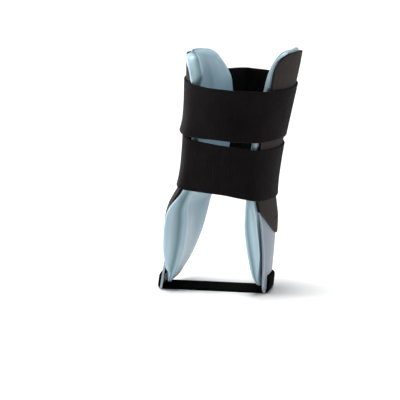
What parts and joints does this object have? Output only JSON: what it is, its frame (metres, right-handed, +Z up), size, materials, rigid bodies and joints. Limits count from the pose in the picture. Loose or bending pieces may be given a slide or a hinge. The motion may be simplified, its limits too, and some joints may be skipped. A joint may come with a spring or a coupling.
{
  "type": "ankle brace",
  "caption": "Stirrup ankle brace: contoured rigid side shells with soft bladder pads, wide elastic wrap straps and a webbing stirrup under the heel.",
  "frame": {"origin": "on the floor, on the underside of the heel strap, midway between the two shells", "axes": "+X towards the outer side of the leg (the lateral shell), -Y towards the toes, +Z up from the floor, about along the leg"},
  "size_m": [0.1373, 0.115, 0.2384],
  "materials": {
    "shell_plastic": "satin moulded plastic, blue-grey",
    "loop_cover": "brushed loop fabric on thin foam, charcoal",
    "bladder_film": "soft vinyl film with a welded rim, pale blue",
    "strap_elastic": "wide knitted elastic, black",
    "hook_tab": "hook tape, black",
    "heel_webbing": "woven webbing, black"
  },
  "bodies": {
    "root": {"lateral_shell": "shell_plastic", "medial_shell": "shell_plastic", "lateral_cover": "loop_cover", "medial_cover": "loop_cover", "lateral_pad": "bladder_film", "medial_pad": "bladder_film", "upper_strap": "strap_elastic", "lower_strap": "strap_elastic", "upper_strap_tab": "hook_tab", "lower_strap_tab": "hook_tab", "heel_strap": "heel_webbing"}
  },
  "joints": []
}
